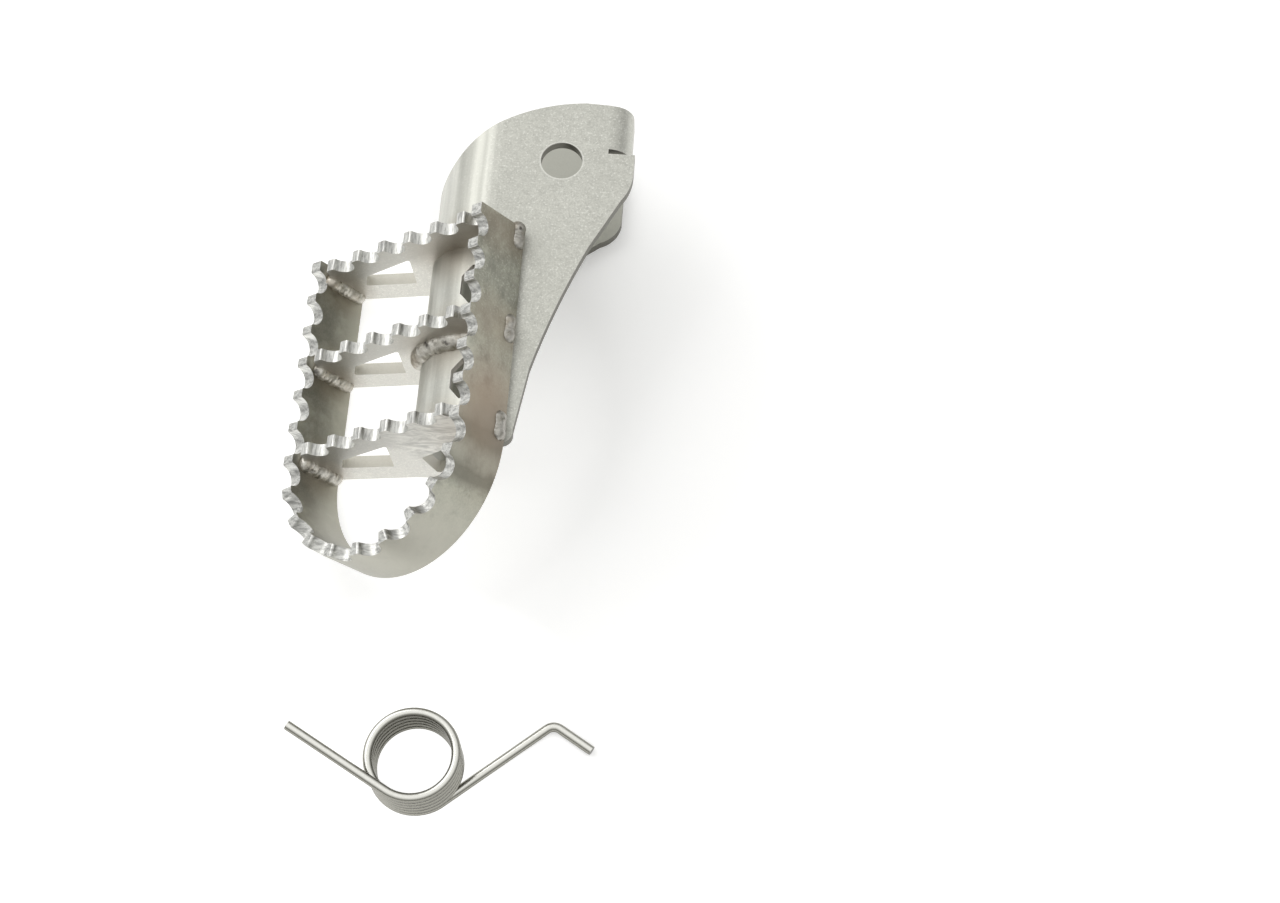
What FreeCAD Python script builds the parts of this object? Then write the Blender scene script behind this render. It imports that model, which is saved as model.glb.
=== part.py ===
"""Folding foot peg: a folded clevis bracket, a toothed rail, three toothed cross bars, welds and a spring.

Axes: +Z is the pivot pin's axis, +Y points inboard and the tread runs outboard along -Y.
Lengths are millimetres.
The pin axis passes through the origin and z = 0 is the underside of the lower ear.
"""

import FreeCAD, Part
import math
import os

import Sketcher
from FreeCAD import Placement, Rotation, Vector

os.makedirs("parts", exist_ok=True)
doc = FreeCAD.newDocument("foot_peg")

DIMENSIONS = {
    "ear_height": 32.7,
    "bracket_gauge": 2.5,
    "strip_gauge": 3.0,
    "pin_bore": 10.0,
    "web_face": 29.8,
    "upper_bend": 15.0,
    "lower_bend": 6.0,
    "ear_right": 17.4,
    "lower_right": 14.0,
    "lower_flange": -16.0,
    "inboard_edge": 16.5,
    "channel_end": 70.3,
    "plate_tip": 74.6,
    "tab_root": 11.0,
    "tab_bend": 5.4,
    "tab_drop": 11.0,
    "tab_width": 12.2,
    "relief": 1.3,
    "relief_side": 2.6,
    "slot_width": 8.3,
    "slot_length": 10.2,
    "slot_x": 16.75,
    "slot_first": 34.5,
    "tilt": 38.0,
    "tread_x": -59.17,
    "tread_z": 12.89,
    "rail_width": 53.0,
    "rail_start": 20.6,
    "nose_centre": 74.4,
    "strip_depth": 15.1,
    "tooth_pitch": 8.55,
    "first_tip": 22.1,
    "gullet_radius": 3.0,
    "lip_radius": 0.6,
    "wall_gullets": 6,
    "nose_gullets": 10,
    "bar_gullets": 6,
    "bar_first": 22.9,
    "bar_step": 24.45,
    "bar_foot": 6.3,
    "notch_depth": 1.8,
    "notch_length": 5.5,
    "bead_radius": 1.9,
    "wire": 2.2,
    "coil_mean": 19.8,
    "coil_pitch": 2.3,
    "coil_turns": 5.192,
    "coil_x": -22.6,
    "coil_y": -142.2,
    "leg_angle": 39.7,
    "straight_leg": 26.6,
    "hooked_leg": 30.9,
    "hook": 10.7,
    "hook_angle": -31.5,
}

sheet = doc.addObject("Spreadsheet::Sheet", "dims")
for row, (alias, value) in enumerate(DIMENSIONS.items(), start=1):
    sheet.set(f"A{row}", alias)
    sheet.set(f"B{row}", str(value))
    sheet.setAlias(f"B{row}", alias)
doc.recompute()


def dim(alias):
    return float(sheet.get(alias))


# ---------------------------------------------------------------- helpers


def line(a, b):
    return Part.LineSegment(Vector(*a, 0), Vector(*b, 0))


def arc(a, middle, b):
    return Part.Arc(Vector(*a, 0), Vector(*middle, 0), Vector(*b, 0))


def closed(points):
    return [line(a, b) for a, b in zip(points, points[1:] + points[:1])]


def rounded(points, radius):
    """A closed outline through the points with every corner rounded."""
    parts = []
    count = len(points)
    corners = []
    for i, corner in enumerate(points):
        here = Vector(*corner, 0)
        back = (Vector(*points[i - 1], 0) - here).normalize()
        ahead = (Vector(*points[(i + 1) % count], 0) - here).normalize()
        half = back.getAngle(ahead) / 2
        reach = radius / math.tan(half)
        centre = here + (back + ahead).normalize() * (radius / math.sin(half))
        middle = centre + (here - centre).normalize() * radius
        corners.append((here + back * reach, middle, here + ahead * reach))
    for i, (start, middle, end) in enumerate(corners):
        parts.append(Part.Arc(start, middle, end))
        parts.append(Part.LineSegment(end, corners[(i + 1) % count][0]))
    return parts


def new_body(name):
    body = doc.addObject("PartDesign::Body", name)
    body.Label = name
    return body


def new_sketch(body, name, geometry, offset):
    """A sketch on the body's own XY plane, moved by the offset in the body's frame."""
    sketch = body.newObject("Sketcher::SketchObject", name)
    plane = next(f for f in body.Origin.OriginFeatures if f.Role == "XY_Plane")
    sketch.AttachmentSupport = [(plane, "")]
    sketch.MapMode = "FlatFace"
    sketch.AttachmentOffset = offset
    sketch.addGeometry(geometry, False)
    return sketch


def level(z):
    return Placement(Vector(0, 0, z), Rotation())


def upright(y):
    """Sketch x stays x, sketch y becomes z, and the normal points along -y."""
    return Placement(Vector(0, y, 0), Rotation(Vector(1, 0, 0), 90))


def pad(body, name, sketch, length, both=False):
    feature = body.newObject("PartDesign::Pad", name)
    feature.Profile = sketch
    feature.setExpression("Length", length)
    feature.Midplane = both
    sketch.Visibility = False
    doc.recompute()
    return feature


def pocket(body, name, sketch, length, reverse=False, both=False):
    feature = body.newObject("PartDesign::Pocket", name)
    feature.Profile = sketch
    feature.setExpression("Length", length)
    feature.Reversed = reverse
    feature.Midplane = both
    sketch.Visibility = False
    before = body.Shape.Volume
    doc.recompute()
    if feature.Shape.Volume >= before - 1e-6:
        raise RuntimeError(f"{name} removes nothing")
    return feature


def bind_sheet_height(sketch, expression):
    sketch.setExpression("AttachmentOffset.Base.z", expression)


# ---------------------------------------------------------------- bracket

THIN = dim("bracket_gauge")
TOP = dim("ear_height")
WEB = -dim("web_face")
RIGHT = dim("ear_right")
FAR = 200.0


def channel_profile():
    """The folded section, seen along the channel."""
    big = dim("upper_bend")
    small = dim("lower_bend")
    lower = dim("lower_right")
    d = math.sqrt(0.5)

    def bend(cx, cz, radius, up):
        return (
            (cx, cz + up * radius),
            (cx - d * radius, cz + up * d * radius),
            (cx - radius, cz),
        )

    outer_top = bend(WEB + big, TOP - big, big, 1)
    inner_top = bend(WEB + big, TOP - big, big - THIN, 1)
    outer_low = bend(WEB + small, small, small, -1)
    inner_low = bend(WEB + small, small, small - THIN, -1)
    return [
        line((RIGHT, TOP), outer_top[0]),
        arc(*outer_top),
        line(outer_top[2], outer_low[2]),
        arc(*reversed(outer_low)),
        line(outer_low[0], (lower, 0)),
        line((lower, 0), (lower, THIN)),
        line((lower, THIN), inner_low[0]),
        arc(*inner_low),
        line(inner_low[2], inner_top[2]),
        arc(*reversed(inner_top)),
        line(inner_top[0], (RIGHT, TOP - THIN)),
        line((RIGHT, TOP - THIN), (RIGHT, TOP)),
    ]


def upper_outline():
    """Plan of the upper ear and of the tongue under the rail."""
    edge = dim("inboard_edge")
    root = dim("tab_root")
    side = dim("relief_side")
    end = -dim("channel_end")
    tip = -dim("plate_tip")
    beyond = WEB - 2
    return [
        line((5, edge), (root, edge - 0.3)),
        line((root, edge - 0.3), (root, side)),
        line((root, side), (RIGHT, side)),
        line((RIGHT, side), (RIGHT, -2.6)),
        arc((RIGHT, -2.6), (16.7, -6.7), (15.0, -10.0)),
        line((15.0, -10.0), (8.2, -23.1)),
        arc((8.2, -23.1), (2.0, -38.9), (-3.0, -55.6)),
        line((-3.0, -55.6), (-5.4, -71.4)),
        arc((-5.4, -71.4), (-6.2, tip + 0.7), (-7.6, tip)),
        line((-7.6, tip), (-9.3, tip)),
        line((-9.3, tip), (-9.3, end)),
        line((-9.3, end), (beyond, end)),
        line((beyond, end), (beyond, -7.8)),
        line((beyond, -7.8), (WEB, -4.8)),
        arc((WEB, -4.8), (-14.5, 10.6), (5, edge)),
    ]


def lower_outline():
    """Plan of the lower ear, which reaches further inboard than the upper one, and the lower flange."""
    low = dim("lower_right")
    flange = dim("lower_flange")
    end = -dim("channel_end")
    beyond = WEB - 2
    return [
        arc((low, 6.5), (10.6, 19.4), (0, 26.0)),
        arc((0, 26.0), (-17.5, 15.2), (WEB, -4.8)),
        line((WEB, -4.8), (beyond, -7.8)),
        line((beyond, -7.8), (beyond, end)),
        line((beyond, end), (flange, end)),
        line((flange, end), (flange, -23.7)),
        line((flange, -23.7), (9.0, -4.9)),
        arc((9.0, -4.9), (12.8, -1.9), (low, 3.3)),
        line((low, 3.3), (low, 6.5)),
    ]


def frame_of(points):
    """A wide rectangle round an outline, so a pocket keeps only the inside."""
    return points + closed([(-FAR, -FAR), (FAR, -FAR), (FAR, FAR), (-FAR, FAR)])


def build_bracket():
    body = new_body("bracket")
    profile = new_sketch(body, "bracket_section", channel_profile(), upright(28.0))
    pad(body, "bracket_fold", profile, "dims.plate_tip + 30")

    upper = new_sketch(body, "upper_plan", frame_of(upper_outline()), level(TOP))
    bind_sheet_height(upper, "dims.lower_bend")
    pocket(body, "upper_trim", upper, "dims.ear_height", reverse=True)

    lower = new_sketch(body, "lower_plan", frame_of(lower_outline()), level(0))
    bind_sheet_height(lower, "dims.lower_bend")
    pocket(body, "lower_trim", lower, "dims.lower_bend + 1")

    root = dim("tab_root")
    bend = dim("tab_bend")
    drop = TOP - dim("tab_drop")
    d = math.sqrt(0.5)
    centre = (root, TOP - bend)

    def on_bend(radius):
        return (
            (root, centre[1] + radius),
            (root + d * radius, centre[1] + d * radius),
            (root + radius, centre[1]),
        )

    outer = on_bend(bend)
    inner = on_bend(bend - THIN)
    tab_section = [
        arc(*outer),
        line(outer[2], (root + bend, drop)),
        line((root + bend, drop), (root + bend - THIN, drop)),
        line((root + bend - THIN, drop), inner[2]),
        arc(*reversed(inner)),
        line(inner[0], outer[0]),
    ]
    start = dim("relief_side") + dim("relief") + dim("tab_width")
    tab = new_sketch(body, "tab_section", tab_section, upright(start))
    tab.setExpression(
        "AttachmentOffset.Base.y", "dims.relief_side + dims.relief + dims.tab_width"
    )
    pad(body, "stop_tab", tab, "dims.tab_width")

    circle = Part.Circle(Vector(0, 0, 0), Vector(0, 0, 1), dim("pin_bore") / 2)
    bore = new_sketch(body, "bore_plan", [circle], level(TOP))
    bore.setExpression("AttachmentOffset.Base.z", "dims.ear_height")
    radius = bore.addConstraint(Sketcher.Constraint("Radius", 0, dim("pin_bore") / 2))
    bore.renameConstraint(radius, "bore_radius")
    bore.setExpression("Constraints.bore_radius", "dims.pin_bore / 2")
    pocket(body, "pin_bores", bore, "dims.ear_height + 1")

    half = dim("slot_width") / 2
    reach = dim("slot_length") / 2
    slots = []
    for bay in range(2):
        x = -dim("slot_x")
        y = -dim("slot_first") - bay * dim("bar_step")
        slots += closed(
            [
                (x - half, y - reach + 2.8),
                (x - half + 2.4, y - reach),
                (x + half, y - reach),
                (x + half, y + reach),
                (x - half + 2.4, y + reach),
                (x - half, y + reach - 2.8),
            ]
        )
    holes = new_sketch(body, "slot_plan", slots, level(TOP))
    holes.setExpression("AttachmentOffset.Base.z", "dims.ear_height")
    pocket(body, "weld_slots", holes, "dims.bracket_gauge + 3")
    return body


# ---------------------------------------------------------------- tread

THICK = dim("strip_gauge")
WIDE = dim("rail_width")
DEEP = dim("strip_depth")
TILT = math.radians(dim("tilt"))


def tread_placement():
    return Placement(
        Vector(dim("tread_x"), 0, dim("tread_z")),
        Rotation(Vector(0, -1, 0), dim("tilt")),
    )


def place_on_tread(obj):
    """Tread frame: x across the tread, y inboard, z up out of the teeth."""
    obj.Placement = tread_placement()
    obj.setExpression("Placement.Base.x", "dims.tread_x")
    obj.setExpression("Placement.Base.z", "dims.tread_z")
    obj.setExpression("Placement.Rotation.Angle", "dims.tilt")
    doc.recompute()
    probe = obj.Placement.Rotation.multVec(Vector(1, 0, 0))
    if probe.z < 0:
        raise RuntimeError("the tread tilts the wrong way")


def across(x, z):
    """A point of the bracket's section in the tread's x and z."""
    dx = x - dim("tread_x")
    dz = z - dim("tread_z")
    c, s = math.cos(TILT), math.sin(TILT)
    return (dx * c + dz * s, -dx * s + dz * c)


def gullet(x):
    """A round gullet at x with rounded lips, open above the teeth."""
    radius = dim("gullet_radius")
    lip = dim("lip_radius")
    reach = math.sqrt((radius + lip) ** 2 - lip**2)
    touch = radius / (radius + lip)
    bow = math.radians(45) + math.atan2(lip, reach) / 2
    left = (x - reach, 0)
    right = (x + reach, 0)
    low_left = (x - reach * touch, -lip * touch)
    low_right = (x + reach * touch, -lip * touch)
    on_left = (left[0] + lip * math.cos(bow), lip * math.sin(bow) - lip)
    on_right = (right[0] - lip * math.cos(bow), lip * math.sin(bow) - lip)
    return [
        arc(left, on_left, low_left),
        arc(low_left, (x, -radius), low_right),
        arc(low_right, on_right, right),
        line(right, (right[0], 2)),
        line((right[0], 2), (left[0], 2)),
        line((left[0], 2), left),
    ]


def line_pattern(body, name, feature, axis, count, length):
    pattern = body.newObject("PartDesign::LinearPattern", name)
    pattern.Originals = [feature]
    pattern.Direction = axis
    pattern.setExpression("Occurrences", count)
    pattern.setExpression("Length", length)
    body.Tip = pattern
    doc.recompute()
    return pattern


def rail_plan():
    """The strip seen from above the teeth: two walls and a round nose."""
    start = -dim("rail_start")
    nose = -dim("nose_centre")
    half = THICK / 2
    outer = WIDE / 2 + half
    inner = WIDE / 2 - half
    mid = WIDE / 2
    return [
        line((-half, start), (-half, nose)),
        arc((-half, nose), (mid, nose - outer), (WIDE + half, nose)),
        line((WIDE + half, nose), (WIDE + half, start)),
        line((WIDE + half, start), (WIDE - half, start)),
        line((WIDE - half, start), (WIDE - half, nose)),
        arc((WIDE - half, nose), (mid, nose - inner), (half, nose)),
        line((half, nose), (half, start)),
        line((half, start), (-half, start)),
    ]


def build_rail():
    body = new_body("rail")
    plan = new_sketch(body, "rail_plan", rail_plan(), level(0))
    plan.setExpression("AttachmentOffset.Base.z", "-dims.strip_depth")
    pad(body, "rail_strip", plan, "dims.strip_depth")

    pitch = dim("tooth_pitch")
    first = dim("first_tip") + pitch / 2
    sideways = Placement(
        Vector(-5, 0, 0), Rotation(Vector(0, 1, 0), Vector(0, 0, 1), Vector(1, 0, 0), "XYZ")
    )
    wall = new_sketch(body, "wall_gullet", gullet(-first), sideways)
    cut = pocket(body, "wall_cut", wall, "dims.rail_width + 10", reverse=True)
    axis = next(f for f in body.Origin.OriginFeatures if f.Role == "Y_Axis")
    row = line_pattern(
        body, "wall_teeth", cut, (axis, [""]), "dims.wall_gullets",
        "dims.tooth_pitch * (dims.wall_gullets - 1)",
    )
    row.Reversed = True
    doc.recompute()

    straight = dim("nose_centre") - dim("first_tip") - pitch * dim("wall_gullets")
    radius = WIDE / 2
    path = 2 * straight + math.pi * radius
    step = math.degrees(path / dim("nose_gullets") / radius)
    begin = math.degrees((path / dim("nose_gullets") / 2 - straight) / radius)
    centre = Vector(WIDE / 2, -dim("nose_centre"), 0)
    inward = Vector(math.cos(math.radians(begin)), math.sin(math.radians(begin)), 0)
    cross = Vector(0, 0, 1).cross(inward)
    radial = Placement(
        centre, Rotation(cross, Vector(0, 0, 1), cross.cross(Vector(0, 0, 1)), "ZXY")
    )
    nose = new_sketch(body, "nose_gullet", gullet(0), radial)
    normal = radial.Rotation.multVec(Vector(0, 0, 1))
    outward_is_normal = normal.dot(inward) < 0
    nose_cut = pocket(
        body, "nose_cut", nose, "dims.rail_width / 2 + 5", reverse=outward_is_normal
    )
    hub = new_sketch(
        body, "nose_hub", [Part.Circle(Vector(), Vector(0, 0, 1), 1)],
        Placement(centre, Rotation()),
    )
    fan = body.newObject("PartDesign::PolarPattern", "nose_teeth")
    fan.Originals = [nose_cut]
    fan.Axis = (hub, ["N_Axis"])
    fan.Angle = step * (dim("nose_gullets") - 1)
    fan.setExpression("Occurrences", "dims.nose_gullets")
    hub.Visibility = False
    body.Tip = fan
    doc.recompute()

    notch_row = []
    length = dim("notch_length")
    depth = dim("notch_depth")
    for bar in range(3):
        y = -dim("bar_first") - bar * dim("bar_step")
        notch_row += closed(
            [
                (y - length / 2, -DEEP - 1),
                (y + length / 2, -DEEP - 1),
                (y + length / 2 - 1, -DEEP + depth),
                (y - length / 2 + 1, -DEEP + depth),
            ]
        )
    beside = Placement(
        Vector(WIDE - THICK, 0, 0),
        Rotation(Vector(0, 1, 0), Vector(0, 0, 1), Vector(1, 0, 0), "XYZ"),
    )
    notches = new_sketch(body, "weld_notches", notch_row, beside)
    pocket(body, "notch_cut", notches, "dims.strip_gauge * 2", reverse=True)
    place_on_tread(body)
    return body


def bend_contact():
    """Where the bracket's outer skin crosses the tread section, from the web up to the plate."""
    big = dim("upper_bend")
    cx, cz = WEB + big, TOP - big
    d = math.sqrt(0.5)
    return (
        across(WEB, dim("bar_foot")),
        across(WEB, cz),
        across(cx - d * big, cz + d * big),
        across(cx, TOP),
    )


def bar_outline(closes_channel):
    inner_left = THICK / 2
    inner_right = WIDE - THICK / 2
    foot, web_top, middle, plate = bend_contact()
    if closes_channel:
        corner = across(-15.0, dim("bar_foot") + 1.5)
        side = across(-10.3, 22.0)
        shoulder = across(-10.3, TOP)
        return closed(
            [
                (inner_left, 0), (inner_left, -DEEP), foot,
                corner, side, shoulder, (inner_right, -DEEP), (inner_right, 0),
            ]
        )
    return [
        line((inner_left, 0), (inner_left, -DEEP)),
        line((inner_left, -DEEP), foot),
        line(foot, web_top),
        arc(web_top, middle, plate),
        line(plate, (inner_right, -DEEP)),
        line((inner_right, -DEEP), (inner_right, 0)),
        line((inner_right, 0), (inner_left, 0)),
    ]


LONG_WINDOW = [(7.4, -10.3), (10.9, -7.1), (25.7, -6.5), (19.2, -16.0)]
SIDE_WINDOW = [(-27.2, 18.2), (-19.5, 26.0), (-13.5, 26.0), (-13.5, 14.0), (-24.2, 10.2)]


def build_bar(number):
    name = f"cross_bar_{number}"
    body = new_body(name)
    last = number == 3
    centre = dim("bar_first") + (number - 1) * dim("bar_step")
    here = f"-dims.bar_first - {number - 1} * dims.bar_step"
    outline = new_sketch(body, f"{name}_outline", bar_outline(last), upright(-centre))
    outline.setExpression("AttachmentOffset.Base.y", here)
    pad(body, f"{name}_blank", outline, "dims.strip_gauge", both=True)

    start = WIDE / 2 - dim("tooth_pitch") * (dim("bar_gullets") / 2)
    tooth_gap = new_sketch(body, f"{name}_gullet", gullet(start), upright(-centre))
    tooth_gap.setExpression("AttachmentOffset.Base.y", here)
    cut = pocket(body, f"{name}_cut", tooth_gap, "dims.strip_gauge * 3", both=True)
    axis = next(f for f in body.Origin.OriginFeatures if f.Role == "X_Axis")
    line_pattern(
        body, f"{name}_teeth", cut, (axis, [""]), "dims.bar_gullets + 1",
        "dims.tooth_pitch * dims.bar_gullets",
    )

    openings = rounded(LONG_WINDOW, 0.5)
    if last:
        openings += rounded([across(x, z) for x, z in SIDE_WINDOW], 0.6)
    window = new_sketch(body, f"{name}_window", openings, upright(-centre))
    window.setExpression("AttachmentOffset.Base.y", here)
    pocket(body, f"{name}_opening", window, "dims.strip_gauge * 3", both=True)
    place_on_tread(body)
    return body


# ---------------------------------------------------------------- welds

BEAD = dim("bead_radius")


def on_tread(x, out, z):
    """A point given across the tread, outboard along it and up out of the teeth."""
    return tread_placement().multVec(Vector(x, -out, z))


PUDDLE_SIZES = (1.0, 0.97, 0.93, 0.98, 1.04, 1.0, 0.95, 1.02)


def bead_through(points, radius):
    """A bead of overlapping puddles, one at each point."""
    shape = None
    for i, spot in enumerate(points):
        puddle = Part.makeSphere(radius * PUDDLE_SIZES[i % len(PUDDLE_SIZES)], spot)
        shape = puddle if shape is None else shape.fuse(puddle)
    return shape


def straight_bead(a, b, radius):
    count = max(2, int(round((b - a).Length / (radius * 0.45))))
    return bead_through([a + (b - a) * (i / count) for i in range(count + 1)], radius)


def weld(name, shape, parents):
    """A bead trimmed where it meets the sheet it joins."""
    for parent in parents:
        shape = shape.cut(parent.Shape)
    solids = sorted(shape.Solids, key=lambda s: s.Volume)
    obj = doc.addObject("Part::Feature", name)
    obj.Label = name
    obj.Shape = solids[-1].removeSplitter()
    return obj


def build_welds(bracket, rail, bars):
    made = []
    half = THICK / 2
    for number, bar in enumerate(bars, start=1):
        out = dim("bar_first") + (number - 1) * dim("bar_step") + half
        size = BEAD * (1.2 if number == 3 else 1.08)
        low = straight_bead(
            on_tread(half, out, -4.6), on_tread(half, out, -13.4), size
        )
        made.append(weld(f"weld_bar_{number}_left", low, [rail, bar]))
        high = straight_bead(
            on_tread(WIDE - half, out, -4.6), on_tread(WIDE - half, out, -9.5), BEAD * 0.7
        )
        made.append(weld(f"weld_bar_{number}_right", high, [rail, bar, bracket]))
        foot = straight_bead(
            on_tread(WIDE + half - 0.8, out - half - 1.8, 1.6 - DEEP),
            on_tread(WIDE + half - 0.8, out - half + 1.8, 1.6 - DEEP), BEAD * 1.02,
        )
        made.append(weld(f"weld_plate_{number}", foot, [bracket, rail]))
    big = dim("upper_bend")
    out = dim("bar_first") + dim("bar_step") + half
    centre = Vector(WEB + big, -out, TOP - big)
    spots = []
    for i in range(18):
        angle = math.radians(98 + 74 * i / 17)
        spots.append(centre + Vector(math.cos(angle), 0, math.sin(angle)) * big)
    made.append(weld("weld_bar_2_channel", bead_through(spots, BEAD * 1.45), [bracket, bars[1]]))
    return made


# ---------------------------------------------------------------- return spring


def build_spring():
    """Close-wound coil with one straight leg and one hooked leg, lying flat beside the peg."""
    wire = dim("wire")
    mean = dim("coil_mean") / 2
    rise = dim("coil_pitch")
    centre = Vector(dim("coil_x"), dim("coil_y"), 0)
    floor = wire / 2
    turn_end = math.radians(dim("leg_angle") - 90)
    total = 2 * math.pi * dim("coil_turns")
    top = floor + rise * dim("coil_turns")

    helix = Part.makeHelix(rise, rise * dim("coil_turns"), mean, 0, True)
    helix.rotate(Vector(), Vector(0, 0, 1), math.degrees(turn_end))
    helix.translate(centre + Vector(0, 0, floor))
    run = helix.Edges[0] if len(helix.Edges) == 1 else helix
    low = centre + Vector(mean * math.cos(turn_end), mean * math.sin(turn_end), floor)
    end_angle = turn_end - total
    last = centre + Vector(mean * math.cos(end_angle), mean * math.sin(end_angle), top)
    out_top = Vector(math.sin(end_angle), -math.cos(end_angle), 0)
    out_low = Vector(-math.sin(turn_end), math.cos(turn_end), 0)
    slope = Vector(0, 0, rise / (2 * math.pi * mean))
    straight_end = last + (out_top + slope).normalize() * dim("straight_leg")

    corner = low + out_low * dim("hooked_leg")
    hook_angle = math.radians(dim("hook_angle"))
    hook_way = Vector(math.cos(hook_angle), math.sin(hook_angle), 0)
    bend = 2.6
    turn = out_low.getAngle(hook_way)
    reach = bend * math.tan(turn / 2)
    before = corner - out_low * reach
    after = corner + hook_way * reach
    inward = (hook_way - out_low).normalize()
    hub = corner + inward * (bend / math.cos(turn / 2))
    middle = hub - inward * bend
    tip = corner + hook_way * dim("hook")
    edges = [
        Part.makeLine(straight_end, last),
        *run.Edges,
        Part.makeLine(low, before),
        Part.Arc(before, middle, after).toShape(),
        Part.makeLine(after, tip),
    ]
    path = Part.Wire(Part.__sortEdges__(edges))
    section = Part.Wire([Part.makeCircle(wire / 2, tip, hook_way)])
    swept = path.makePipeShell([section], True, True)
    obj = doc.addObject("Part::Feature", "return_spring")
    obj.Label = "return_spring"
    obj.Shape = swept if swept.ShapeType == "Solid" else Part.Solid(swept.Shells[0])
    return obj


# ---------------------------------------------------------------- build and write

bracket = build_bracket()
rail = build_rail()
bars = [build_bar(number) for number in (1, 2, 3)]
doc.recompute()
welds = build_welds(bracket, rail, bars)
spring = build_spring()
doc.recompute()

for obj in doc.Objects:
    if "Invalid" in obj.State or "Error" in obj.State:
        raise RuntimeError(f"{obj.Name}: {obj.State}")

for obj in [bracket, rail, *bars, *welds, spring]:
    shape = obj.Shape
    if shape.isNull() or not shape.isValid() or len(shape.Solids) != 1:
        raise RuntimeError(f"{obj.Label}: {len(shape.Solids)} solids, valid {shape.isValid()}")
    shape.exportStep(f"parts/{obj.Label}.step")
    print(obj.Label, round(shape.Volume, 1), "mm3")
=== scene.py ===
"""Looks for the foot peg: satin stainless sheet, bright cut teeth, rippled welds and drawn spring wire."""
import math

import bpy
from mathutils import Matrix, Vector


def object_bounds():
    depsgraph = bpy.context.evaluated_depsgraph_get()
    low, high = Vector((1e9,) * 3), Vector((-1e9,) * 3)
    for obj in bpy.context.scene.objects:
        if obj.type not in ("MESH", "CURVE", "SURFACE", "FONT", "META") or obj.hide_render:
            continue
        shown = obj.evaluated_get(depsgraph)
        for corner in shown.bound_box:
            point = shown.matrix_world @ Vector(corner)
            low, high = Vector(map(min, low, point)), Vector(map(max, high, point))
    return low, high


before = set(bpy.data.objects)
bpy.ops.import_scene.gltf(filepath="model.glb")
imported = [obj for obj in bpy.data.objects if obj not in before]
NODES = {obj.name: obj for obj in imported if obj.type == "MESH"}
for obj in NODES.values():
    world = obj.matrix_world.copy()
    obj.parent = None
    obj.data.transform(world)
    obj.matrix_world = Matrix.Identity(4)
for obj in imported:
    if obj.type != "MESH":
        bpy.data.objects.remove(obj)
CAD_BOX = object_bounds()

# Tread frame, as in the CAD: x across the tread, y inboard, z up out of the teeth (metres).
TREAD_TURN = Matrix.Rotation(math.radians(-38.0), 3, "Y")
TREAD_ORIGIN = Vector((-0.05917, 0.0, 0.01289))
RAIL_WIDTH = 0.053
NOSE_CENTRE = 0.0744
BAR_FIRST = 0.0229
BAR_STEP = 0.02445
STRIP_DEPTH = 0.0151
EAR_TOP = 0.0327
BARS_OUT = [BAR_FIRST + number * BAR_STEP for number in range(3)]

# Limits of the bracket's zones of painted light and shade, from none to full effect (metres): along x, y
# or z, except the bore's rim highlight, which is measured from the pin axis.
BEND_RANGE = (-0.0145, -0.0185)
BEND_PAINTED_LIGHT = (-0.0245, -0.0262)
LOWER_EAR_SHADE_HEIGHT = (0.0060, 0.0040)
LOWER_EAR_SHADE_SIDE = (-0.0235, -0.0215)
EDGE_SHADE_SIDE = (-0.0290, -0.0280)
TAB_SIDE = (0.01575, 0.01600)
TAB_INBOARD = (0.003, 0.0035)
BORE_RIM_HIGHLIGHT = (0.00545, 0.00525)
# Stripes of painted light and shade as centre, half width and soft margin (metres): along x on the bend,
BEND_SHADE_BAND = (-0.0228, 0.0008, 0.0016)
BEND_CREST_SHADE = (-0.0198, 0.0005, 0.0012)
# and outboard of the pin axis on the rail's right side, as painted dark and light reflection bands on the
# nose.
NOSE_DARK_REFLECTIONS = ((0.0785, 0.0014, 0.0028), (0.0872, 0.0010, 0.0025))
NOSE_LIGHT_REFLECTIONS = ((0.0832, 0.0008, 0.0022), (0.0738, 0.0010, 0.0022))

CAMERA_PLACE = Vector((0.03580, -0.26280, 0.45843))
CAMERA_TARGET = Vector((0.02270, -0.06039, 0.0))
CAMERA_LENS = 58.31
KEY_PLACE = (-0.70, 0.35, 0.60)
KEY_TARGET = (-0.02, -0.04, 0.0)
KEY_SIZE = (0.9, 0.8)
KEY_POWER = 3.4


def on_tread(x, out, z):
    """A point across the tread, outboard along it and up out of the teeth, in the part's frame."""
    return TREAD_ORIGIN + TREAD_TURN @ Vector((x, -out, z))


# ------------------------------------------------------------------ shader helpers


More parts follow.
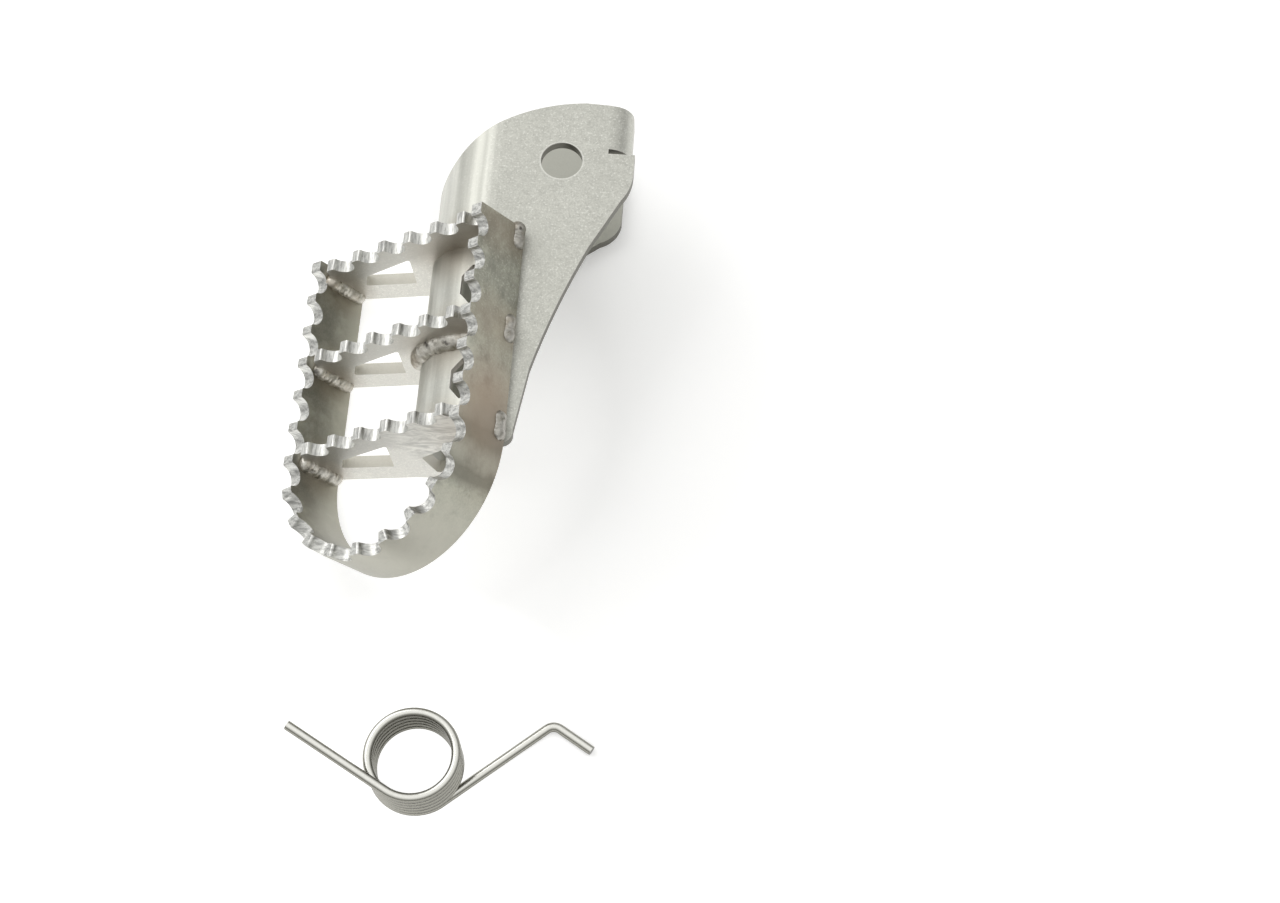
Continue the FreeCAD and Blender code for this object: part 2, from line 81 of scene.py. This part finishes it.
class Graph:
    """A small wrapper that adds and links shader nodes."""

    def __init__(self, name):
        self.material = bpy.data.materials.new(name)
        self.material.use_nodes = True
        self.tree = self.material.node_tree
        self.shader = self.tree.nodes["Principled BSDF"]
        self.coords = self.add("ShaderNodeTexCoord")

    def add(self, kind, **settings):
        node = self.tree.nodes.new(kind)
        for key, value in settings.items():
            setattr(node, key, value)
        return node

    def link(self, source, target):
        if isinstance(source, (int, float)):
            target.default_value = source
        elif isinstance(source, tuple):
            target.default_value = source
        else:
            self.tree.links.new(source, target)

    def math(self, operation, a, b=0.0, clamp=False):
        node = self.add("ShaderNodeMath", operation=operation, use_clamp=clamp)
        self.link(a, node.inputs[0])
        self.link(b, node.inputs[1])
        return node.outputs[0]

    def vector(self, operation, a, b=(0, 0, 0)):
        node = self.add("ShaderNodeVectorMath", operation=operation)
        self.link(a, node.inputs[0])
        self.link(b, node.inputs[1])
        scalar = operation in ("DOT_PRODUCT", "LENGTH", "DISTANCE")
        return node.outputs["Value" if scalar else "Vector"]

    def noise(self, scale, detail=4.0, rough=0.6, vector=None, distortion=0.0):
        node = self.add("ShaderNodeTexNoise")
        node.inputs["Scale"].default_value = scale
        node.inputs["Detail"].default_value = detail
        node.inputs["Roughness"].default_value = rough
        node.inputs["Distortion"].default_value = distortion
        self.link(vector or self.coords.outputs["Object"], node.inputs["Vector"])
        return node.outputs["Fac"]

    def stretch(self, factors):
        return self.vector("MULTIPLY", self.coords.outputs["Object"], factors)

    def ramp(self, value, low, high, low_out=0.0, high_out=1.0):
        node = self.add("ShaderNodeMapRange")
        self.link(value, node.inputs["Value"])
        node.inputs["From Min"].default_value = low
        node.inputs["From Max"].default_value = high
        node.inputs["To Min"].default_value = low_out
        node.inputs["To Max"].default_value = high_out
        return node.outputs["Result"]

    def mix(self, factor, a, b):
        node = self.add("ShaderNodeMix", data_type="RGBA")
        self.link(factor, node.inputs[0])
        for value, socket in ((a, node.inputs[6]), (b, node.inputs[7])):
            self.link((*value, 1.0) if isinstance(value, tuple) else value, socket)
        return node.outputs[2]

    def bump(self, height, strength, distance):
        node = self.add("ShaderNodeBump")
        node.inputs["Strength"].default_value = strength
        node.inputs["Distance"].default_value = distance
        self.link(height, node.inputs["Height"])
        self.link(node.outputs["Normal"], self.shader.inputs["Normal"])

    def near(self, point, radius, softness):
        """1 at a point of the part's frame, falling to 0 at the radius."""
        gap = self.vector("DISTANCE", self.coords.outputs["Object"], tuple(point))
        return self.ramp(gap, radius * (1 - softness), radius, 1.0, 0.0)

    def tread_axes(self, source):
        """A vector's parts along the tread's x, y and z."""
        return [self.vector("DOT_PRODUCT", source, tuple(TREAD_TURN @ Vector(axis)))
                for axis in ((1, 0, 0), (0, 1, 0), (0, 0, 1))]


SHEET = (0.625, 0.625, 0.575)
SHEET_LIGHT = (0.82, 0.82, 0.775)
SHEET_DARK = (0.45, 0.45, 0.41)
# Painted shade tone for the sheet's upright side faces.
SHEET_EDGE_SHADE = (0.21, 0.205, 0.18)
# Painted shadow tone for the lower ear, which lies under the upper plate.
LOWER_EAR_SHADE = (0.43, 0.43, 0.385)
WALL = (0.345, 0.345, 0.290)
# Painted shade tone for the faces inside the rail's loop.
WALL_INNER_SHADE = (0.295, 0.29, 0.25)
# Painted light tone for the nose: its light bands, its outboard faces and its glint.
NOSE_LIT = (0.42, 0.41, 0.36)
BAR = (0.745, 0.735, 0.69)
CUT = (0.68, 0.68, 0.65)
# Painted light tone for the bars' lower cut faces, the ledges in their windows.
LEDGE_PAINTED_LIGHT = (0.75, 0.735, 0.68)
STRAW = (0.33, 0.27, 0.20)
BLUED = (0.17, 0.16, 0.16)
BRONZE = (0.40, 0.30, 0.235)
BEAD_DARK = (0.40, 0.38, 0.33)
BEAD_LIGHT = (0.70, 0.68, 0.63)
BEAD_BROWN = (0.40, 0.33, 0.24)
PIT = (0.06, 0.055, 0.05)
WIRE_LOW = (0.78, 0.775, 0.73)
WIRE_HIGH = (0.83, 0.825, 0.785)
# Painted shade tones for the wire's sides and the grooves between turns.
WIRE_SIDE_SHADE = (0.32, 0.315, 0.28)
WIRE_GROOVE_SHADE = (0.10, 0.095, 0.075)
TABLE_LOW = (0.915, 0.915, 0.915)
TABLE_HIGH = (0.93, 0.93, 0.93)


def tinted(colour, factor):
    """A colour made lighter or darker, kept within 1."""
    return tuple(min(1.0, c * factor) for c in colour)


def satin(graph, base, low, high):
    """Mill finish: a fine grain over a mottle, sparse light speckles and a broad unevenness."""
    grain = graph.noise(2300, 3, 0.7)
    mottle = graph.noise(620, 4, 0.7)
    broad = graph.noise(60, 3, 0.5)
    fine = graph.math("MULTIPLY", grain, 0.6)
    mixed = graph.math("ADD", fine, graph.math("MULTIPLY", mottle, 0.4))
    colour = graph.mix(graph.ramp(mixed, 0.36, 0.60), low, base)
    speck = graph.ramp(graph.noise(1900, 2, 0.5), 0.56, 0.70)
    colour = graph.mix(graph.math("MULTIPLY", speck, 0.60), colour, high)
    return graph.mix(graph.ramp(broad, 0.42, 0.75, 0.0, 0.30), colour, low), mixed


def band(graph, value, centre, half, soft):
    """1 inside a stripe of the value, falling to 0 over the soft margin."""
    gap = graph.math("ABSOLUTE", graph.math("SUBTRACT", value, centre))
    return graph.ramp(gap, half + soft, half)


def sheet_material():
    """Mill-finished sheet with heat tint by the bars; painted reflection bands on the bend, painted shadow
    on the lower ear, painted shade on the side faces and a painted highlight on the bore's rim.
    """
    g = Graph("satin_sheet")
    colour, mottle = satin(g, SHEET, SHEET_DARK, SHEET_LIGHT)
    position = g.coords.outputs["Object"]
    side = g.vector("DOT_PRODUCT", position, (1, 0, 0))
    bend = g.ramp(side, *BEND_RANGE)
    # Painted reflection on the bend: brushed streaks, partly grain and partly painted sheen, a painted
    # light zone at its outer side, a painted shade band, and painted shade over the crest's highlight.
    brushed_sheen = g.noise(95, 3, 0.5, g.stretch((5.0, 0.22, 5.0)))
    shade = g.mix(g.ramp(brushed_sheen, 0.36, 0.64), tinted(SHEET_DARK, 0.85), tinted(SHEET, 1.12))
    shade = g.mix(g.math("MULTIPLY", g.ramp(side, *BEND_PAINTED_LIGHT), 0.45), shade, SHEET_LIGHT)
    shade_band = band(g, side, *BEND_SHADE_BAND)
    shade = g.mix(g.math("MULTIPLY", shade_band, 0.55), shade, tinted(SHEET_DARK, 0.80))
    crest_shade = band(g, side, *BEND_CREST_SHADE)
    shade = g.mix(g.math("MULTIPLY", crest_shade, 0.50), shade, tinted(SHEET_DARK, 1.05))
    colour = g.mix(g.math("MULTIPLY", bend, 0.7), colour, shade)
    height = g.vector("DOT_PRODUCT", position, (0, 0, 1))
    # Painted shadow: the top of the lower ear is painted this darker tone.
    low = g.ramp(height, *LOWER_EAR_SHADE_HEIGHT)
    colour = g.mix(g.math("MULTIPLY", low, g.ramp(side, *LOWER_EAR_SHADE_SIDE)), colour, LOWER_EAR_SHADE)
    # Painted shade: upright side faces are painted dark, except the web's outer face and the stop tab's
    # face.
    upright = g.math("ABSOLUTE", g.vector("DOT_PRODUCT", g.coords.outputs["Normal"], (0, 0, 1)))
    edge = g.math("MULTIPLY", g.ramp(upright, 0.20, 0.10), g.ramp(side, *EDGE_SHADE_SIDE))
    tab_face = g.ramp(side, *TAB_SIDE)
    inboard = g.vector("DOT_PRODUCT", position, (0, 1, 0))
    tab_face = g.math("MULTIPLY", tab_face, g.ramp(inboard, *TAB_INBOARD))
    edge = g.math("MULTIPLY", edge, g.math("SUBTRACT", 1.0, tab_face))
    colour = g.mix(edge, colour, SHEET_EDGE_SHADE)
    # Painted highlight: a light ring round the top edge of the bore.
    from_pin = g.vector("LENGTH", g.vector("MULTIPLY", position, (1.0, 1.0, 0.0)))
    top = g.ramp(height, EAR_TOP - 0.0004, EAR_TOP - 0.0001)
    rim_highlight = g.math("MULTIPLY", g.ramp(from_pin, *BORE_RIM_HIGHLIGHT), top)
    colour = g.mix(g.math("MULTIPLY", rim_highlight, 0.4), colour, SHEET_LIGHT)
    for out in BARS_OUT:
        spot = g.near(on_tread(0.039, out + 0.001, -0.009), 0.011, 0.8)
        colour = g.mix(g.math("MULTIPLY", spot, 0.5), colour, STRAW)
    g.link(colour, g.shader.inputs["Base Color"])
    g.link(1.0, g.shader.inputs["Metallic"])
    g.link(g.ramp(mottle, 0.3, 0.7, 0.42, 0.56), g.shader.inputs["Roughness"])
    g.bump(mottle, 0.22, 0.0002)
    return g.material


def rail_facing(g, place, normal):
    """How far the normal points out of the rail's loop: 1 outside, -1 inside, 0 on cut edges."""
    out_x = g.math("SUBTRACT", place[0], RAIL_WIDTH / 2)
    out_y = g.math("MINIMUM", g.math("ADD", place[1], NOSE_CENTRE), 0.0)
    square = g.math("ADD", g.math("MULTIPLY", out_x, out_x), g.math("MULTIPLY", out_y, out_y))
    along = g.math("ADD", g.math("MULTIPLY", out_x, normal[0]), g.math("MULTIPLY", out_y, normal[1]))
    return g.math("DIVIDE", along, g.math("SQRT", square))


def rail_faces(g, place, normal, facing):
    """The rail's dull faces: patchy outside, with painted reflection bands, painted light on the front and
    a painted glint at the nose; inside, painted shade that lightens towards the lower edge.
    """
    colour, mottle = satin(g, WALL, tinted(WALL, 0.74), tinted(WALL, 1.7))
    patches = g.noise(75, 4, 0.6, g.stretch((1.0, 0.55, 1.0)))
    colour = g.mix(g.ramp(patches, 0.50, 0.70, 0.0, 0.45), colour, tinted(WALL, 1.55))
    outward = g.math("MULTIPLY", place[1], -1.0)
    toward_nose = g.ramp(outward, 0.030, 0.072, 0.0, 0.80)
    grain = g.ramp(mottle, 0.36, 0.62)
    paler = g.mix(grain, tinted(WALL, 1.15), tinted(WALL, 1.62))
    colour = g.mix(toward_nose, colour, paler)
    wobble = g.math("MULTIPLY", g.noise(90, 3, 0.6), 0.004)
    along = g.math("ADD", outward, wobble)
    right = g.ramp(place[0], RAIL_WIDTH / 2, RAIL_WIDTH / 2 + 0.006)
    streaks = g.noise(230, 4, 0.7, g.stretch((1.0, 0.5, 0.6)))
    colour = g.mix(g.ramp(streaks, 0.49, 0.32, 0.0, 0.75), colour, tinted(WALL, 0.55))
    colour = g.mix(g.ramp(streaks, 0.53, 0.70, 0.0, 0.55), colour, tinted(WALL, 1.75))
    # Painted reflection: dark and light bands across the rail's right side at the nose.
    marks = g.math("ADD", *(band(g, along, *stripe) for stripe in NOSE_DARK_REFLECTIONS))
    colour = g.mix(g.math("MULTIPLY", g.math("MULTIPLY", marks, right), 0.70), colour, tinted(WALL, 0.42))
    sheen = g.math("ADD", *(band(g, along, *stripe) for stripe in NOSE_LIGHT_REFLECTIONS))
    sheen = g.math("MULTIPLY", sheen, right)
    colour = g.mix(g.math("MULTIPLY", sheen, 0.5), colour, NOSE_LIT)
    bronze = g.near(on_tread(0.0545, 0.0665, -0.0085), 0.013, 0.85)
    colour = g.mix(g.math("MULTIPLY", bronze, 0.55), colour, BRONZE)
    # Painted light: faces turned outboard at the nose are painted lighter.
    front_lit = g.ramp(normal[1], -0.45, -0.85)
    colour = g.mix(g.math("MULTIPLY", front_lit, 0.85), colour, NOSE_LIT)
    # Painted shade: faces turned into the rail's loop take a darker tone, painted lighter towards their
    # lower edge.
    dull = g.mix(grain, tinted(WALL_INNER_SHADE, 0.75), WALL_INNER_SHADE)
    blotch = g.noise(120, 4, 0.6)
    dull = g.mix(g.ramp(blotch, 0.50, 0.66, 0.0, 0.55), dull, tinted(WALL_INNER_SHADE, 1.7))
    dull = g.mix(g.ramp(blotch, 0.47, 0.34, 0.0, 0.50), dull, tinted(WALL_INNER_SHADE, 0.55))
    lower_light = g.ramp(place[2], -0.006, -STRIP_DEPTH)
    dull = g.mix(g.math("MULTIPLY", lower_light, 0.65), dull, tinted(WALL_INNER_SHADE, 1.9))
    # Painted glint on the inside of the nose.
    glint = g.near(on_tread(0.006, 0.090, -0.011), 0.013, 0.8)
    dull = g.mix(g.math("MULTIPLY", glint, 0.65), dull, NOSE_LIT)
    return g.mix(g.ramp(facing, -0.2, -0.6), colour, dull), mottle


def bar_faces(g, place):
    """The bars' faces, with swirling grinding marks beside the last bar's right weld and painted shade on
    their upper part.
    """
    colour, mottle = satin(g, BAR, tinted(BAR, 0.82), tinted(BAR, 1.2))
    swirl = g.noise(240, 4, 0.6, g.stretch((0.6, 1.0, 1.6)), distortion=1.8)
    ground = g.ramp(place[0], 0.026, 0.032)
    ground = g.math("MULTIPLY", ground, g.ramp(place[1], -0.0690, -0.0700))
    # Painted shade: the bars darken towards their top.
    upper_shade = g.ramp(place[2], -0.0095, -0.0060, 0.0, 0.45)
    colour = g.mix(upper_shade, colour, tinted(BAR, 0.50))
    marks = g.mix(g.ramp(swirl, 0.38, 0.60), tinted(BAR, 0.52), BAR)
    return g.mix(g.math("MULTIPLY", ground, 0.7), colour, marks), mottle


def tint_spots(is_rail):
    """Centres and radii of the heat tint at the bars' ends, the rail's lower edge and the channel."""
    spots = []
    for out in BARS_OUT:
        last = out == BARS_OUT[-1]
        spots.append((on_tread(0.0015, out + 0.001, -0.009), 0.009))
        if is_rail or not last:
            spots.append((on_tread(0.0515, out + 0.001, -0.006), 0.010))
        spots.append((on_tread(0.0540, out + 0.001, -0.015), 0.021 if last else 0.008))
        if not is_rail and not last:
            spots.append((on_tread(0.037, out, -0.010), 0.013))
    return spots


def strip_material(name, is_rail):
    """Rolled strip on edge: dull faces, bright cut edges, heat tint at the welds, and painted light on the
    bars' lower cut faces.
    """
    g = Graph(name)
    normal = g.tread_axes(g.coords.outputs["Normal"])
    place = g.tread_axes(g.vector("SUBTRACT", g.coords.outputs["Object"], tuple(TREAD_ORIGIN)))
    if is_rail:
        facing = rail_facing(g, place, normal)
        colour, mottle = rail_faces(g, place, normal, facing)
    else:
        facing = normal[1]
        colour, mottle = bar_faces(g, place)
    cut = g.ramp(g.math("ABSOLUTE", facing), 0.80, 0.55)
    warp = g.math("MULTIPLY", g.noise(160, 3, 0.6), 0.4)
    for point, radius in tint_spots(is_rail):
        spot = g.math("MULTIPLY", g.near(point, radius, 0.9), g.math("ADD", warp, 0.40))
        colour = g.mix(spot, colour, STRAW)
        core = g.math("MULTIPLY", g.near(point, radius * 0.5, 0.9), 0.25)
        colour = g.mix(core, colour, BLUED)
    saw = g.noise(420, 3, 0.7, g.stretch((0.6, 3.5, 3.5) if is_rail else (3.5, 0.6, 3.5)))
    edge = g.mix(g.ramp(saw, 0.36, 0.60), tinted(CUT, 0.52), CUT)
    ledge = 0.0
    if not is_rail:
        # Painted light: the lower cut faces of the bars get a lighter tone.
        ledge = g.math("MULTIPLY", g.ramp(place[2], -0.0042, -0.0055), cut)
        edge = g.mix(ledge, edge, LEDGE_PAINTED_LIGHT)
    colour = g.mix(cut, colour, edge)
    g.link(colour, g.shader.inputs["Base Color"])
    g.link(1.0, g.shader.inputs["Metallic"])
    rough = g.math("ADD", g.ramp(mottle, 0.3, 0.7, 0.34, 0.5), g.math("MULTIPLY", cut, -0.10))
    rough = g.math("ADD", rough, g.math("MULTIPLY", ledge, 0.45), clamp=True)
    g.link(rough, g.shader.inputs["Roughness"])
    lines = g.math("MULTIPLY", g.math("MULTIPLY", saw, cut), 1.2)
    g.bump(g.math("ADD", g.math("MULTIPLY", mottle, 0.4), lines), 0.25, 0.0003)
    return g.material


def weld_material(name, tone):
    """Bright rippled bead with dark pits; the tone scales its colour."""
    g = Graph(name)
    lumps = g.noise(700, 4, 0.6)
    pits = g.ramp(g.noise(330, 2, 0.5), 0.38, 0.30)
    colour = g.mix(g.ramp(lumps, 0.35, 0.65), tinted(BEAD_DARK, tone), tinted(BEAD_LIGHT, tone))
    colour = g.mix(g.ramp(g.noise(190, 2, 0.5), 0.5, 0.7, 0.0, 0.6), colour, BEAD_BROWN)
    colour = g.mix(g.math("MULTIPLY", pits, 0.8), colour, PIT)
    g.link(colour, g.shader.inputs["Base Color"])
    g.link(1.0, g.shader.inputs["Metallic"])
    g.link(g.ramp(lumps, 0.3, 0.7, 0.26, 0.46), g.shader.inputs["Roughness"])
    g.bump(g.math("SUBTRACT", lumps, g.math("MULTIPLY", pits, 0.6)), 0.5, 0.0006)
    return g.material


def wire_material():
    """Drawn wire: its own tone along the top of each turn, painted shade down the sides and darker painted
    shade in the grooves between turns.
    """
    g = Graph("drawn_wire")
    draw = g.noise(1400, 2, 0.5)
    up = g.vector("DOT_PRODUCT", g.coords.outputs["Normal"], (0, 0, 1))
    light = g.mix(g.ramp(draw, 0.3, 0.7), WIRE_LOW, WIRE_HIGH)
    # Painted shade: faces turned away from straight up get darker, darkest where they face sideways or
    # down.
    side_shaded = g.mix(g.ramp(up, 0.985, 0.80), light, WIRE_SIDE_SHADE)
    colour = g.mix(g.ramp(up, 0.48, 0.12), side_shaded, WIRE_GROOVE_SHADE)
    g.link(colour, g.shader.inputs["Base Color"])
    g.link(1.0, g.shader.inputs["Metallic"])
    g.link(g.ramp(draw, 0.3, 0.7, 0.22, 0.30), g.shader.inputs["Roughness"])
    return g.material


def dress(names, material):
    """Gives the named CAD nodes one material."""
    for name in names:
        obj = NODES[name]
        obj.data.materials.clear()
        obj.data.materials.append(material)


dress(["bracket"], sheet_material())
dress(["rail"], strip_material("rail_strip", True))
dress([n for n in NODES if n.startswith("cross_bar")], strip_material("bar_strip", False))
dress([n for n in NODES if n.startswith("weld_bar")], weld_material("weld_bead", 1.0))
dress([n for n in NODES if n.startswith("weld_plate")], weld_material("weld_tack", 0.72))
dress(["return_spring"], wire_material())

# ------------------------------------------------------------------ stage


def build_floor():
    """A plain table top just below the part, with a soft glow under the tread, the spring and far out."""
    half = 1.5
    mesh = bpy.data.meshes.new("table_top")
    mesh.from_pydata([(-half, -half, 0), (half, -half, 0), (half, half, 0), (-half, half, 0)],
                     [], [(0, 1, 2, 3)])
    floor = bpy.data.objects.new("table_top", mesh)
    floor.location.z = CAD_BOX[0][2] - 0.0001
    bpy.context.scene.collection.objects.link(floor)
    g = Graph("table_white")
    tone = g.noise(3.0, 2, 0.5)
    g.link(g.mix(g.ramp(tone, 0.3, 0.7), TABLE_LOW, TABLE_HIGH), g.shader.inputs["Base Color"])
    g.link(0.9, g.shader.inputs["Roughness"])
    g.shader.inputs["Specular IOR Level"].default_value = 0.0
    g.shader.inputs["Emission Color"].default_value = (1.0, 1.0, 1.0, 1.0)
    under_tread = g.near((-0.040, -0.054, 0.0), 0.056, 0.60)
    under_spring = g.near((-0.023, -0.142, 0.0), 0.045, 0.7)
    beyond = g.math("SUBTRACT", 1.0, g.near((0.0, -0.05, 0.0), 0.20, 0.75))
    glow = g.math("ADD", g.math("MULTIPLY", under_tread, 0.40), g.math("MULTIPLY", under_spring, 0.50))
    glow = g.math("ADD", glow, g.math("MULTIPLY", beyond, 0.30))
    g.link(g.math("ADD", glow, 0.16), g.shader.inputs["Emission Strength"])
    mesh.materials.append(g.material)


def add_area(name, place, target, size, power):
    """A rectangular lamp at a place, aimed at a target."""
    light = bpy.data.lights.new(name, "AREA")
    light.shape = "RECTANGLE"
    light.size, light.size_y = size
    light.energy = power
    obj = bpy.data.objects.new(name, light)
    obj.location = place
    obj.rotation_euler = (Vector(target) - Vector(place)).to_track_quat("-Z", "Y").to_euler()
    bpy.context.scene.collection.objects.link(obj)


def build_light():
    """A sky that brightens upwards, and one large key light."""
    world = bpy.data.worlds.new("studio")
    bpy.context.scene.world = world
    world.use_nodes = True
    tree = world.node_tree
    sky = tree.nodes["Background"]
    coords = tree.nodes.new("ShaderNodeTexCoord")
    parts = tree.nodes.new("ShaderNodeSeparateXYZ")
    tree.links.new(coords.outputs["Generated"], parts.inputs[0])
    height = tree.nodes.new("ShaderNodeMapRange")
    tree.links.new(parts.outputs["Z"], height.inputs["Value"])
    height.inputs["From Min"].default_value = 0.0
    height.inputs["From Max"].default_value = 0.85
    height.inputs["To Min"].default_value = 0.25
    height.inputs["To Max"].default_value = 1.02
    tree.links.new(height.outputs["Result"], sky.inputs["Strength"])
    sky.inputs["Color"].default_value = (1.0, 1.0, 0.985, 1.0)
    add_area("key", KEY_PLACE, KEY_TARGET, KEY_SIZE, KEY_POWER)


def build_camera():
    camera = bpy.data.cameras.new("camera")
    camera.sensor_width = 36.0
    camera.lens = CAMERA_LENS
    camera.clip_start = 0.01
    obj = bpy.data.objects.new("camera", camera)
    obj.location = CAMERA_PLACE
    obj.rotation_euler = (CAMERA_TARGET - CAMERA_PLACE).to_track_quat("-Z", "Y").to_euler()
    bpy.context.scene.collection.objects.link(obj)
    bpy.context.scene.camera = obj


build_floor()
build_light()
build_camera()
bpy.context.scene.view_settings.view_transform = "Standard"
